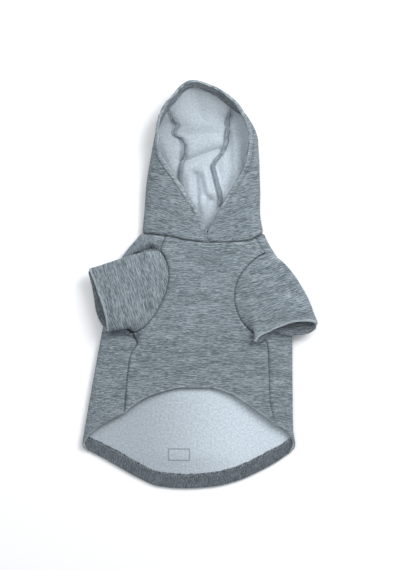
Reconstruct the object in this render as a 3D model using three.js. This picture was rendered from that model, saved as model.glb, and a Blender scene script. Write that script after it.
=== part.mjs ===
// A pullover dog hoodie in fleece-backed sweatshirt knit, lying on its back with the belly side up.
// The back panel rests on the floor and wraps round both sides to the side and shoulder seams. The belly panel
// closes the top, with an arched hem that leaves the wider back hem bare. Two short sleeves are set into the
// armholes and lie folded over the chest. The hood is two side panels and a centre panel, open upwards.
// Millimetres. x runs across, y from the hem to the crown of the hood, z up from the floor. While it is being
// built, y = 0 is the neck line. The finished group stands on z = 0 with its box centred on x = y = 0.

import * as THREE from "three";

const { lerp, clamp, degToRad } = THREE.MathUtils;

// Cloth
const wall = 2.2; // sweatshirt knit with its brushed fleece
const floorLevel = wall / 2;
const facingWall = 1.6; // strip sewn inside each open edge
const seamGap = 0.4; // clearance along each seam and behind each facing
const curvedGap = 0.8; // the same along the curved seams of the hood and behind its strips

// Body, laid flat
const backLength = 278; // neck line to the lowest point of the back hem
const bodyWidth = 210; // across the chest, below the armholes
const hemWidth = 236; // between the two corners of the hem
const neckWidth = 134; // across the neck seam
const bellyLength = 167; // neck line to the top of the arched hem
const hemCornerDown = 231; // neck line to the corners of the hem
const hemFacingWidth = 15;
const sideFoldHeight = 6.5; // height of the folded side above the floor
const archHeight = 11; // height of the cloth at the arched hem
const waistHeight = 12; // height of the cloth over the waist
const chestHeight = 18; // height of the cloth over the chest
const neckHeight = 18; // height of the cloth at the neck seam
const neckDipDepth = 8; // how far the front of the neck seam drops below the neck line
const napeRiseHeight = 5; // how far the back of the neck seam rises above it
const rollPower = { left: 3, right: 5 }; // how square the rolled sides of the body are
const hoodPower = 5; // the same for the hood

// Sleeves
const armholeDepth = 89;
const cuffWidth = 71; // flat width of the cuff
const cuffGapeHeight = 19; // how far the mouth of the cuff stands open
const cuffFoldRadius = 4.7; // radius of its folded edges
const cuffFacingWidth = 14;
const sleeve = {
  frontAngle: 19, // degrees by which the cloth leaves each part of the armhole upwards
  backAngle: 28,
  endAngle: 50,
  cuffAngle: 12, // degrees by which it drops towards the cuff
  frontReachLength: 26, // how far it runs on in that direction before it bends to the cuff
  backReachLength: 18,
  endReachLength: 15,
  cuffReachLength: 24,
};

// Hood
const hoodWidth = 125;
const hoodDepth = 29; // height of its sides' rim above the floor
const hoodSideLength = 105; // neck line to where the sides turn into the round crown
const crownFoldHeight = 12; // height at which the crown is widest
const crownFoldRadius = 18; // how far the crown curves in from there to the floor
const bowlRadius = 40; // the same where the crown flares out like a bowl
const rimFacingWidth = 11;
const allowanceWidth = 5; // overlocked edges of the two hood seams

// Every facet count is a number of columns or rows
const facets = {
  belly: 16,
  back: [6, 4, 5],
  bodyRows: [8, 12, 2],
  sleeve: 24,
  sleeveRows: [7, 2],
  hoodSide: [6, 4, 3],
  hoodCentre: 14,
  hoodRows: [11, 4, 4, 3],
  rim: [8, 18, 8],
};

// One column of a table at a key, on a smooth curve through the rows that never overshoots them.
function along(table, key, column, at) {
  const last = table.length - 1;
  const span = (i) => table[i + 1][key] - table[i][key];
  const secant = (i) => (table[i + 1][column] - table[i][column]) / span(i);
  const slope = (i) => {
    if (i === 0) return secant(0);
    if (i === last) return secant(last - 1);
    const before = secant(i - 1);
    const after = secant(i);
    return before * after > 0 ? (2 * before * after) / (before + after) : 0;
  };
  if (at <= table[0][key]) return table[0][column] + slope(0) * (at - table[0][key]);
  if (at >= table[last][key]) return table[last][column] + slope(last) * (at - table[last][key]);
  let i = 0;
  while (at > table[i + 1][key]) i++;
  const width = span(i);
  const t = (at - table[i][key]) / width;
  const a = table[i][column];
  const b = table[i + 1][column];
  const ease = t * t * (3 - 2 * t);
  const lead = t * (1 - t) * (1 - t) * width * slope(i);
  const trail = t * t * (1 - t) * width * slope(i + 1);
  return lerp(a, b, ease) + lead - trail;
}

// The outward unit normal of a surface point(a, b), by small steps. `turn` is 1 or -1.
function normalAt(point, a, b, stepA, stepB, turn) {
  const alongA = point(a + stepA, b).sub(point(a - stepA, b));
  const alongB = point(a, b + stepB).sub(point(a, b - stepB));
  return alongA.cross(alongB).normalize().multiplyScalar(turn);
}

// Along the neck seam the cloth ends square, so that the body and the hood meet face to face.
const squared = (normal) => normal.setY(0).normalize();
const upright = new THREE.Vector3(0, 0, 1);

// Turns a closed geometry's triangles round where they face inwards.
function faceOutwards(geometry) {
  const position = geometry.attributes.position;
  const index = geometry.index;
  const [a, b, c] = [new THREE.Vector3(), new THREE.Vector3(), new THREE.Vector3()];
  let volume = 0;
  for (let i = 0; i < index.count; i += 3) {
    a.fromBufferAttribute(position, index.getX(i));
    b.fromBufferAttribute(position, index.getX(i + 1));
    c.fromBufferAttribute(position, index.getX(i + 2));
    volume += a.dot(b.cross(c));
  }
  if (volume > 0) return geometry;
  for (let i = 0; i < index.count; i += 3) {
    const first = index.getX(i);
    index.setX(i, index.getX(i + 1));
    index.setX(i + 1, first);
  }
  return geometry;
}

// A sheet of cloth: sheet(u, v) gives its point and normal, and its wall lies from `below` to `above` of it.
function clothPanel(columns, rows, below, above, sheet) {
  const geometry = new THREE.BoxGeometry(1, 1, 1, columns, rows, 1);
  const position = geometry.attributes.position;
  for (let i = 0; i < position.count; i++) {
    const u = Math.round((position.getX(i) + 0.5) * columns) / columns;
    const v = Math.round((position.getY(i) + 0.5) * rows) / rows;
    const { point, normal } = sheet(u, v);
    point.addScaledVector(normal, position.getZ(i) > 0 ? above : below);
    position.setXYZ(i, point.x, point.y, point.z);
  }
  return faceOutwards(geometry);
}

// The same for a tube: turned as a plain pipe and then bent to tube(turn, v), with turn from 0 to 1 round it.
function clothTube(segments, rows, below, above, tube) {
  const side = { inner: wall, outer: 2 * wall };
  const profile = [];
  for (let row = 0; row <= rows; row++) profile.push(new THREE.Vector2(side.inner, row / rows));
  for (let row = rows; row >= 0; row--) profile.push(new THREE.Vector2(side.outer, row / rows));
  profile.push(profile[0].clone());
  const geometry = new THREE.LatheGeometry(profile, segments);
  const position = geometry.attributes.position;
  for (let i = 0; i < position.count; i++) {
    const radius = Math.hypot(position.getX(i), position.getZ(i));
    const angle = Math.atan2(position.getX(i), position.getZ(i)) / (2 * Math.PI);
    const turn = (Math.round(angle * segments) / segments + 1) % 1;
    const { point, normal } = tube(turn, position.getY(i));
    point.addScaledVector(normal, radius > (side.inner + side.outer) / 2 ? above : below);
    position.setXYZ(i, point.x, point.y, point.z);
  }
  return faceOutwards(geometry);
}

const sum = (counts) => counts.reduce((total, count) => total + count, 0);

// Spreads an even share over stages: the stage's own count of columns takes it from one knot to the next.
function paced(knots, counts, share) {
  let at = share * sum(counts);
  let stage = 0;
  while (stage < counts.length - 1 && at > counts[stage]) at -= counts[stage++];
  return lerp(knots[stage], knots[stage + 1], at / counts[stage]);
}

// Body outline, seen from above: y down from the neck line, and how far each side lies from the centre line
const neckCorner = 0.375 * neckDipDepth;
const outline = [
  { y: neckCorner, left: -0.472 * neckWidth, right: 0.525 * neckWidth },
  { y: -0.047 * backLength, left: -0.37 * bodyWidth, right: 0.375 * bodyWidth },
  { y: -0.095 * backLength, left: -0.414 * bodyWidth, right: 0.414 * bodyWidth },
  { y: -0.218 * backLength, left: -0.466 * bodyWidth, right: 0.461 * bodyWidth },
  { y: -0.388 * backLength, left: -0.514 * bodyWidth, right: 0.487 * bodyWidth },
  { y: -0.597 * backLength, left: -0.564 * bodyWidth, right: 0.489 * bodyWidth },
  { y: -0.755 * backLength, left: -0.535 * hemWidth, right: 0.437 * hemWidth },
  { y: -hemCornerDown, left: -0.55 * hemWidth, right: 0.45 * hemWidth },
].reverse();

// Centre line of the garment and height of the cloth above the floor
const middle = [
  { y: -backLength, axis: -0.06 * bodyWidth, height: archHeight },
  { y: -0.75 * backLength, axis: -0.05 * bodyWidth, height: archHeight },
  { y: -0.6 * backLength, axis: -0.03 * bodyWidth, height: waistHeight },
  { y: -0.33 * backLength, axis: -0.01 * bodyWidth, height: chestHeight },
  { y: neckCorner, axis: 0.056 * neckWidth, height: neckHeight },
];

// Hems and neck seam: `across` is -1 at the left side and 1 at the right side
const hemCurves = [
  { across: -1, arch: 0, drop: 0.03 },
  { across: -0.88, arch: 0.17, drop: 0.22 },
  { across: -0.67, arch: 0.47, drop: 0.51 },
  { across: -0.47, arch: 0.77, drop: 0.77 },
  { across: -0.28, arch: 0.9, drop: 0.95 },
  { across: -0.03, arch: 0.98, drop: 1 },
  { across: 0.23, arch: 0.98, drop: 0.96 },
  { across: 0.45, arch: 0.88, drop: 0.84 },
  { across: 0.68, arch: 0.63, drop: 0.59 },
  { across: 0.87, arch: 0.31, drop: 0.32 },
  { across: 1, arch: 0, drop: 0.03 },
];
const neckCurves = [
  { across: -1, front: 0.375, nape: 0.6 },
  { across: -0.6, front: -0.05, nape: 0.85 },
  { across: -0.3, front: -0.62, nape: 1 },
  { across: 0.05, front: -0.95, nape: 1 },
  { across: 0.7, front: -0.7, nape: 0.85 },
  { across: 1, front: 0.375, nape: 0.6 },
];
const hemCurve = (column, across) => along(hemCurves, "across", column, across);
const hemArch = (across) => -hemCornerDown + (hemCornerDown - bellyLength) * hemCurve("arch", across);
const hemDrop = (across) => -hemCornerDown - (backLength - hemCornerDown) * hemCurve("drop", across);
const neckFront = (across) => neckDipDepth * along(neckCurves, "across", "front", across);
const neckBack = (across) => napeRiseHeight * along(neckCurves, "across", "nape", across);

// Each side's armhole: its two ends, and how far its front and back halves bow out of the line between them
const left = {
  sign: -1,
  column: "left",
  top: new THREE.Vector2(-0.205 * bodyWidth, -0.058 * backLength),
  drop: new THREE.Vector2(-0.14 * bodyWidth, -1.03 * armholeDepth),
  front: 0.1 * bodyWidth,
  back: 0.12 * bodyWidth,
  sideSeam: [
    { share: 0, x: 0 },
    { share: 0.2, x: 0 },
    { share: 0.45, x: -0.032 * bodyWidth },
    { share: 1, x: -0.047 * bodyWidth },
  ],
  shoulder: 0.03 * bodyWidth,
  hemAcross: -0.6,
  cuff: new THREE.Vector3(-0.526 * bodyWidth, -0.255 * backLength, 1.03 * chestHeight),
  cuffTurn: -73,
  cuffTilt: 0.04 * cuffWidth,
  lips: [
    { place: 0, upper: 0, lower: 0, gape: 0 },
    { place: 0.22, upper: -0.025, lower: 0.027, gape: 0.54 },
    { place: 0.43, upper: -0.035, lower: 0.052, gape: 0.87 },
    { place: 0.62, upper: -0.04, lower: 0.081, gape: 1 },
    { place: 0.78, upper: -0.033, lower: 0.075, gape: 0.75 },
    { place: 0.9, upper: -0.015, lower: 0.04, gape: 0.44 },
    { place: 1, upper: 0, lower: 0, gape: 0 },
  ],
  lean: new THREE.Vector3(-0.09, 0.056, 0.19).multiplyScalar(armholeDepth),
};
const right = {
  sign: 1,
  column: "right",
  top: new THREE.Vector2(0.342 * bodyWidth, -0.065 * backLength),
  drop: new THREE.Vector2(-0.02 * bodyWidth, -1.03 * armholeDepth),
  front: 0.15 * bodyWidth,
  back: 0.07 * bodyWidth,
  sideSeam: [
    { share: 0, x: 0 },
    { share: 0.12, x: 0.035 * bodyWidth },
    { share: 0.75, x: 0.048 * bodyWidth },
    { share: 1, x: 0.075 * bodyWidth },
  ],
  shoulder: -0.053 * bodyWidth,
  hemAcross: 0.84,
  cuff: new THREE.Vector3(0.451 * bodyWidth, -0.382 * backLength, 1.25 * chestHeight),
  cuffTurn: -164,
  cuffTilt: 0.1 * cuffWidth,
  lips: [
    { place: 0, upper: 0, lower: 0, gape: 0 },
    { place: 0.05, upper: -0.045, lower: 0.07, gape: 0.27 },
    { place: 0.18, upper: -0.095, lower: 0.1, gape: 0.87 },
    { place: 0.36, upper: -0.13, lower: 0.073, gape: 1 },
    { place: 0.55, upper: -0.12, lower: 0, gape: 0.34 },
    { place: 0.65, upper: -0.107, lower: -0.083, gape: 0.06 },
    { place: 0.75, upper: -0.09, lower: -0.065, gape: 0.05 },
    { place: 0.9, upper: -0.055, lower: 0, gape: 0.05 },
    { place: 1, upper: 0, lower: 0, gape: 0 },
  ],
  lean: new THREE.Vector3(0.28, 0.022, 0.17).multiplyScalar(armholeDepth),
};
function silhouette(side, y) {
  return along(outline, "y", side.column, Math.min(y, neckCorner)) - (side.sign * wall) / 2;
}
const axisAt = (y) => along(middle, "y", "axis", Math.min(y, neckCorner));
// How far across the garment a place lies, from 0 at the centre line to 1 at the side
function reachAt(side, x, y) {
  return clamp((x - axisAt(y)) / (silhouette(side, y) - axisAt(y)), 0, 1);
}
for (const side of [left, right]) {
  side.bottom = side.top.clone().add(side.drop);
  side.hemY = hemArch(side.hemAcross);
  side.neckX = side.top.x + side.shoulder;
  side.neckY = neckFront(side.sign * reachAt(side, side.neckX, neckCorner));
}

// x of the edge of the belly panel (half "front") or of the back panel (half "back") at a height y
function edgeX(side, half, y) {
  if (y > side.top.y) return side.top.x + (side.shoulder * (y - side.top.y)) / (side.neckY - side.top.y);
  if (y < side.bottom.y) {
    const share = (side.bottom.y - y) / (side.bottom.y - side.hemY);
    return side.bottom.x + along(side.sideSeam, "share", "x", share);
  }
  const share = (y - side.bottom.y) / (side.top.y - side.bottom.y);
  const swing = 2 * share - 1;
  const bow = Math.pow(Math.max(0, 1 - swing * swing), swing > 0 ? 0.85 : 0.65);
  const reach = half === "front" ? -side.sign * side.front : side.sign * side.back;
  return lerp(side.bottom.x, side.top.x, share) + reach * bow;
}

// Folds are lines from one place to another with a width and a height, as shares of the sizes they belong to.
const bodyFolds = [
  { x: -0.46, y: -0.4, toX: -0.33, toY: -0.44, width: 0.03, height: -1.5 },
  { x: -0.2, y: -0.27, toX: 0.13, toY: -0.275, width: 0.024, height: -0.36 },
  { x: 0.34, y: -0.42, toX: 0.4, toY: -0.62, width: 0.05, height: -0.55 },
  { x: -0.295, y: -0.45, toX: -0.095, toY: -0.4, width: 0.043, height: 0.55 },
  { x: -0.095, y: -0.54, toX: 0.19, toY: -0.53, width: 0.038, height: -0.36 },
];
const hoodFolds = [
  { x: 0.024, y: 0.676, toX: 0.032, toY: 0.362, width: 0.04, height: 1.3 },
  { x: -0.104, y: 0.695, toX: -0.064, toY: 0.4, width: 0.04, height: 1.1 },
  { x: -0.128, y: 1.048, toX: 0.176, toY: 0.943, width: 0.056, height: 1.3 },
  { x: 0.352, y: 0.905, toX: 0.352, toY: 0.524, width: 0.056, height: 1.3 },
  { x: -0.288, y: 0.914, toX: -0.24, toY: 0.714, width: 0.048, height: 1 },
];
function foldsAt(folds, acrossSpan, downSpan, x, y) {
  const place = new THREE.Vector2(x, y);
  let height = 0;
  for (const fold of folds) {
    const from = new THREE.Vector2(fold.x * acrossSpan, fold.y * downSpan);
    const run = new THREE.Vector2(fold.toX * acrossSpan, fold.toY * downSpan).sub(from);
    const share = clamp(place.clone().sub(from).dot(run) / run.lengthSq(), 0, 1);
    const distance = from.addScaledVector(run, share).distanceTo(place);
    height += fold.height * wall * Math.exp(-((distance / (fold.width * acrossSpan)) ** 2));
  }
  return height;
}

// Height of the upper cloth's middle surface
function upperHeight(x, y) {
  const side = x < axisAt(y) ? left : right;
  const reach = reachAt(side, x, y);
  const swell = Math.sqrt(1 - Math.pow(reach, rollPower[side.column]));
  const fade = 1 - Math.pow(reach, 4);
  const height = lerp(sideFoldHeight, along(middle, "y", "height", y), swell);
  return height + foldsAt(bodyFolds, bodyWidth, backLength, x, y) * fade;
}

// y of a row of the body: v runs from the hem past the two ends of the armholes to the neck.
function rowY(v, knots) {
  const stage = paced([0, 1, 2, 3], facets.bodyRows, v);
  if (stage <= 1) return lerp(knots.hem, knots.bottom, stage);
  if (stage >= 2) return lerp(knots.top, knots.neck, stage - 2);
  return lerp(knots.bottom, knots.top, (1 - Math.cos(Math.PI * (stage - 1))) / 2);
}

// The belly panel: u from its left edge to its right edge
function bellyPoint(u, v) {
  const neckX = lerp(left.neckX, right.neckX, u);
  const side = neckX < axisAt(0) ? left : right;
  const y = rowY(v, {
    hem: hemArch(lerp(left.hemAcross, right.hemAcross, u)),
    bottom: lerp(left.bottom.y, right.bottom.y, u),
    top: lerp(left.top.y, right.top.y, u),
    neck: neckFront(side.sign * reachAt(side, neckX, neckCorner)) - seamGap / 2,
  });
  const x = lerp(edgeX(left, "front", y) + seamGap / 2, edgeX(right, "front", y) - seamGap / 2, u);
  return new THREE.Vector3(x, y, upperHeight(x, y));
}
function bellySheet(u, v) {
  const step = 0.004;
  const normal = normalAt(bellyPoint, clamp(u, step, 1 - step), clamp(v, step, 1 - step), step, step, 1);
  return { point: bellyPoint(u, v), normal: v === 1 ? squared(normal) : normal };
}

// How far a column of the back panel's flap reaches across at a height y
function flapReach(side, y, share) {
  const power = rollPower[side.column];
  const edge = reachAt(side, edgeX(side, "back", y) + (side.sign * seamGap) / 2, y);
  const edgeAngle = Math.acos(Math.pow(edge, power / 2));
  return Math.pow(Math.cos(lerp(edgeAngle, 0, share)), 2 / power);
}

// Neck line round the side: stage 0 to 1 is the rolled side, 1 to 2 the floor up to the centre line
function neckUnder(side, stage) {
  if (stage > 1) return neckBack(side.sign * (2 - stage));
  return lerp(neckFront(side.sign), neckBack(side.sign), Math.sin((stage * Math.PI) / 2));
}

// The back panel in three stages: a flap on top, the roll down at the side, and the floor to the centre line
function backPoint(side, stage, v) {
  const flap = Math.min(stage, 1);
  const roll = clamp(stage - 1, 0, 1);
  const centre = clamp(stage - 2, 0, 1);
  const ease = Math.sin((roll * Math.PI) / 2);
  const share = centre / 2;
  const other = side === left ? right : left;
  const hemAcross = side.sign * lerp(Math.abs(side.hemAcross), 1, flap);
  const neckAcross = side.sign * flapReach(side, side.neckY, flap);
  const y = rowY(v, {
    hem: stage <= 1 ? hemArch(hemAcross) : lerp(-hemCornerDown, hemDrop(side.sign * (1 - centre)), ease),
    bottom: lerp(side.bottom.y, other.bottom.y, share),
    top: lerp(side.top.y, other.top.y, share),
    neck: (stage <= 1 ? neckFront(neckAcross) : neckUnder(side, stage - 1)) - seamGap / 2,
  });
  const axis = axisAt(y);
  const outer = silhouette(side, y);
  if (stage <= 1) {
    const x = axis + (outer - axis) * flapReach(side, y, flap);
    return new THREE.Vector3(x, y, upperHeight(x, y));
  }
  const radius = sideFoldHeight - floorLevel;
  const turn = (roll * Math.PI) / 2;
  const x = lerp(outer - side.sign * radius * (1 - Math.cos(turn)), axis, centre);
  return new THREE.Vector3(x, y, sideFoldHeight - radius * Math.sin(turn));
}

// u from 0 at the left seam, round underneath, to 1 at the right seam
function backSheet(u, v) {
  const side = u <= 0.5 ? left : right;
  const stage = paced([0, 1, 2, 3], facets.back, 2 * Math.min(u, 1 - u));
  const step = 0.004;
  const down = new THREE.Vector3(0, 0, -1);
  const point = (a, b) => backPoint(side, a, b);
  const normal = normalAt(point, clamp(stage, step, 3 - step), clamp(v, step, 1 - step), step, step, side.sign);
  if (v === 1) squared(normal);
  return { point: backPoint(side, stage, v), normal: stage >= 2 ? down : normal };
}

// Section of the flattened cuff from one folded edge to the other: the place along it and its half height
function cuffSection(side, share) {
  const edge = 0.25;
  const flat = cuffWidth / 2 - cuffFoldRadius;
  const turn = (Math.min(share, 1 - share, edge) / edge) * (Math.PI / 2);
  const inside = clamp((share - edge) / (1 - 2 * edge), 0, 1);
  const out = cuffFoldRadius * Math.cos(turn) * (share < 0.5 ? -1 : 1);
  const lay = lerp(-flat, flat, inside) + out;
  const open = (cuffGapeHeight / 2 - cuffFoldRadius) * along(side.lips, "place", "gape", lay / cuffWidth + 0.5);
  return { lay, lift: cuffFoldRadius * Math.sin(turn) + open };
}

// Sleeve: turn 0 is the top end of the armhole, 0.25 its front, 0.5 its bottom end; v runs down to the cuff.
function sleevePoint(side, turn, v) {
  const swing = Math.cos(2 * Math.PI * turn);
  const bulge = Math.sin(2 * Math.PI * turn);
  const round = turn - Math.floor(turn);
  const { lay, lift } = cuffSection(side, 2 * Math.min(round, 1 - round));
  const front = Math.max(0, bulge);
  const back = Math.max(0, -bulge);
  const y = lerp(side.bottom.y, side.top.y, (1 + swing) / 2);
  const seam = new THREE.Vector3(edgeX(side, bulge >= 0 ? "front" : "back", y), y, 0);
  const hubX = side.top.x + side.drop.x / 2 + (side.sign * (side.back - side.front)) / 2;
  const hub = new THREE.Vector3(hubX, side.top.y + side.drop.y / 2, 0);
  const inward = hub.clone().sub(seam).normalize();
  const ends = 1 - Math.abs(bulge);
  const standing = bulge > 0 ? ends * ends : Math.sqrt(ends);
  seam.addScaledVector(inward, 1.5 * seamGap + 1.6 * wall * standing);
  seam.z = upperHeight(seam.x, seam.y);
  const rise = degToRad(sleeve.frontAngle * front + sleeve.backAngle * back + sleeve.endAngle * ends);
  const reach = sleeve.frontReachLength * front + sleeve.backReachLength * back + sleeve.endReachLength * ends;
  const leave = inward.multiplyScalar(Math.cos(rise)).setZ(Math.sin(rise));

  const across = new THREE.Vector3(1, 0, 0).applyAxisAngle(upright, degToRad(side.cuffTurn));
  const outward = across.clone().applyAxisAngle(upright, (side.sign * Math.PI) / 2);
  const lip = along(side.lips, "place", bulge > 0 ? "upper" : "lower", lay / cuffWidth + 0.5);
  const cuff = side.cuff.clone().addScaledVector(across, lay).addScaledVector(outward, lip * cuffWidth);
  cuff.z += Math.sign(bulge) * lift + (side.cuffTilt * lay) / cuffWidth;
  const fall = degToRad(sleeve.cuffAngle);
  const arrive = outward.multiplyScalar(Math.cos(fall)).setZ(-Math.sin(fall));

  const first = seam.clone().addScaledVector(leave, reach);
  first.lerp(seam.clone().add(side.lean), Math.max(0, swing) ** 5);
  const last = cuff.clone().addScaledVector(arrive, -sleeve.cuffReachLength);
  const path = new THREE.CubicBezierCurve3(seam, first, last, cuff);
  return path.getPoint(v);
}
const cuffRow = 1 - cuffFacingWidth / (3 * sleeve.cuffReachLength);
function sleeveSheet(side, knots, counts) {
  const step = 0.004;
  return (turn, share) => {
    const v = paced(knots, counts, share);
    const at = clamp(v, step, 1 - step);
    const normal = normalAt((a, b) => sleevePoint(side, a, b), turn, at, step, step, side.sign);
    return { point: sleevePoint(side, turn, v), normal };
  };
}

// Hood: its straight part is a row of sections across, and its crown a fan of sections round one centre
const straightY = [neckCorner, 0.24 * hoodSideLength, 0.57 * hoodSideLength, hoodSideLength];
const straight = [
  { left: -0.472 * neckWidth, right: 0.525 * neckWidth, axis: 0.056 * neckWidth, height: neckHeight },
  { left: -0.486 * hoodWidth, right: 0.536 * hoodWidth, axis: 0.055 * hoodWidth, height: 0.66 * hoodDepth },
  { left: -0.463 * hoodWidth, right: 0.533 * hoodWidth, axis: 0.05 * hoodWidth, height: 0.8 * hoodDepth },
  { left: -0.405 * hoodWidth, right: 0.519 * hoodWidth, axis: 0.048 * hoodWidth, height: hoodDepth },
].map((section, i) => ({ y: straightY[i], ...section }));
const opening = [
  { row: 0, left: 0.012, right: 0.012 },
  { row: 0.1, left: 0.02, right: 0.02 },
  { row: 0.19, left: 0.07, right: 0.15 },
  { row: 0.33, left: 0.22, right: 0.3 },
  { row: 0.57, left: 0.48, right: 0.57 },
  { row: 0.77, left: 0.75, right: 0.76 },
  { row: 0.89, left: 0.87, right: 0.81 },
  { row: 1, left: 0.93, right: 0.85 },
];

// `rim` is how far out the edge of the face opening lies, as a share of the section's half width
const crown = [
  { turn: 0, half: 0.453 * hoodWidth, rim: 0.93, height: hoodDepth, bowl: 0 },
  { turn: 25, half: 0.47 * hoodWidth, rim: 0.95, height: 0.97 * hoodDepth, bowl: 0.3 },
  { turn: 50, half: 0.482 * hoodWidth, rim: 0.97, height: 0.92 * hoodDepth, bowl: 0.9 },
  { turn: 75, half: 0.542 * hoodWidth, rim: 0.97, height: 0.88 * hoodDepth, bowl: 1 },
  { turn: 95, half: 0.49 * hoodWidth, rim: 0.97, height: 0.9 * hoodDepth, bowl: 1 },
  { turn: 122, half: 0.447 * hoodWidth, rim: 0.95, height: 0.97 * hoodDepth, bowl: 0.75 },
  { turn: 150, half: 0.441 * hoodWidth, rim: 0.92, height: hoodDepth, bowl: 0.1 },
  { turn: 180, half: 0.471 * hoodWidth, rim: 0.85, height: hoodDepth, bowl: 0 },
];

// How far each seam of the centre panel lies from the middle, up the straight part (to 1) and the crown (to 2)
const hoodSeams = [
  { row: 0, left: 0.25, right: 0.22 },
  { row: 0.27, left: 0.173, right: 0.152 },
  { row: 0.45, left: 0.228, right: 0.159 },
  { row: 0.64, left: 0.273, right: 0.123 },
  { row: 0.73, left: 0.277, right: 0.109 },
  { row: 0.82, left: 0.258, right: 0.177 },
  { row: 0.91, left: 0.249, right: 0.251 },
  { row: 1, left: 0.283, right: 0.286 },
  { row: 1.11, left: 0.438, right: 0.323 },
  { row: 1.23, left: 0.438, right: 0.366 },
  { row: 1.34, left: 0.503, right: 0.395 },
  { row: 1.45, left: 0.593, right: 0.438 },
  { row: 1.65, left: 0.756, right: 0.577 },
  { row: 2, left: 0.9, right: 0.735 },
];

// Out from the middle of a section: the floor ends at the first share and the rolled side at the second
const sectionStages = { floor: 0.45, fold: 0.65 };

// station runs up the left side (0 to 1), round the crown (to 2) and down the right side; `out` runs to the rim
function hoodPoint(station, out) {
  const { floor, fold } = sectionStages;
  const isCrown = station > 1 && station < 2;
  const isLeft = station <= 1;
  const side = isLeft ? left : right;
  const share = isLeft ? station : 3 - station;
  const sectionY = lerp(neckCorner, hoodSideLength, share);
  const axis = along(straight, "y", "axis", isCrown ? hoodSideLength : sectionY);
  const blend = isCrown ? 1 : THREE.MathUtils.smoothstep(share, 0, 1);
  const power = lerp(rollPower[side.column], hoodPower, blend);
  const foldHeight = lerp(sideFoldHeight, crownFoldHeight, blend);
  const inset = lerp(sideFoldHeight - floorLevel, crownFoldRadius, blend);
  const degrees = 180 * (station - 1);
  const full = isCrown ? along(crown, "turn", "half", degrees)
    : Math.abs(along(straight, "y", side.column, sectionY) - axis);
  const half = full - wall / 2;
  const rim = isCrown ? along(crown, "turn", "rim", degrees) : along(opening, "row", side.column, share);
  const height = isCrown ? along(crown, "turn", "height", degrees) : along(straight, "y", "height", sectionY);

  let distance = ((half - inset) * out) / floor;
  let z = floorLevel;
  let neckY = neckBack(side.sign * (out / floor));
  if (out > fold) {
    const rimAngle = Math.acos(Math.pow(rim, power / 2));
    const angle = (rimAngle * (out - fold)) / (1 - fold);
    const reach = Math.pow(Math.cos(angle), 2 / power);
    distance = half * reach;
    z = foldHeight + ((height - foldHeight) * Math.sin(angle)) / Math.sin(rimAngle);
    neckY = neckFront(side.sign * reach);
  } else if (out > floor) {
    const angle = ((out - floor) / (fold - floor)) * (Math.PI / 2);
    distance = half - inset * (1 - Math.sin(angle));
    z = lerp(floorLevel, foldHeight, 1 - Math.cos(angle));
    neckY = neckUnder(side, 1 - (out - floor) / (fold - floor));
  }
  if (isCrown) {
    const angle = Math.PI - degToRad(degrees);
    const bowl = along(crown, "turn", "bowl", degrees);
    const climb = Math.max(0, (out - floor) / (1 - floor));
    const flared = out > floor ? half - bowlRadius * (1 - climb) : ((half - bowlRadius) * out) / floor;
    distance = lerp(distance, flared, bowl);
    z = lerp(z, lerp(floorLevel, height, Math.pow(climb, 1.6)), bowl);
    return rumpled(axis + distance * Math.cos(angle), hoodSideLength + distance * Math.sin(angle), z);
  }
  return rumpled(axis + side.sign * distance, lerp(neckY + seamGap / 2, hoodSideLength, share), z);
}

// The cloth on the floor of the hood lies loose and lifts in a few folds
function rumpled(x, y, z) {
  const low = clamp(1 - z / crownFoldHeight, 0, 1);
  const loose = low * THREE.MathUtils.smoothstep(y / hoodSideLength, 0.13, 0.36);
  const lift = 0.6 * wall + foldsAt(hoodFolds, hoodWidth, hoodSideLength, x, y);
  return new THREE.Vector3(x, y, z + loose * lift);
}
function hoodSheet(station, out) {
  const step = 0.004;
  const at = clamp(out, 0.05, 1 - step);
  const normal = normalAt(hoodPoint, clamp(station, step, 3 - step), at, step, step, -1);
  const down = new THREE.Vector3(0, 0, -1);
  if (station === 0 || station === 3) squared(normal);
  return { point: hoodPoint(station, out), normal: out <= sectionStages.floor ? down : normal };
}

// A place of the flat pattern: across is -1 and 1 at the rims; row is 0 at the neck and 2 at the crown's rim
function hoodCloth(across, row) {
  if (row <= 1) return hoodSheet(across < 0 ? row : 3 - row, Math.abs(across));
  const up = row - 1;
  const x = across * Math.sqrt(1 - (up * up) / 2);
  const y = up * Math.sqrt(1 - (across * across) / 2);
  const station = 2 - Math.atan2(y, x) / Math.PI;
  return hoodSheet(station, Math.hypot(x, y));
}
const hoodKnots = [0, 1, 1 + sectionStages.floor, 1 + sectionStages.fold, 2];
const seamInset = curvedGap / hoodWidth;
function hoodSide(side) {
  return (u, v) => {
    const row = paced(hoodKnots, facets.hoodRows, v);
    const seam = along(hoodSeams, "row", side.column, row) + seamInset;
    const fold = Math.max(sectionStages.fold, lerp(seam, 1, 0.5));
    const floor = Math.max(sectionStages.floor, lerp(seam, 1, 0.2));
    const shaped = paced([1, fold, floor, seam], facets.hoodSide, u);
    return hoodCloth(side.sign * lerp(shaped, lerp(1, seam, u), Math.max(0, row - 1)), row);
  };
}
function hoodCentre(u, v) {
  const row = paced(hoodKnots, facets.hoodRows, v);
  const from = -along(hoodSeams, "row", "left", row) + seamInset;
  const to = along(hoodSeams, "row", "right", row) - seamInset;
  return hoodCloth(lerp(from, to, u), row);
}
const bodyRows = sum(facets.bodyRows);
const hoodRows = sum(facets.hoodRows);

// Inside a hem, the facing lies this far from the middle of the cloth
const facingNear = wall / 2 + seamGap;
const facingFar = facingNear + facingWall;
const curvedNear = wall / 2 + curvedGap;

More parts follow.
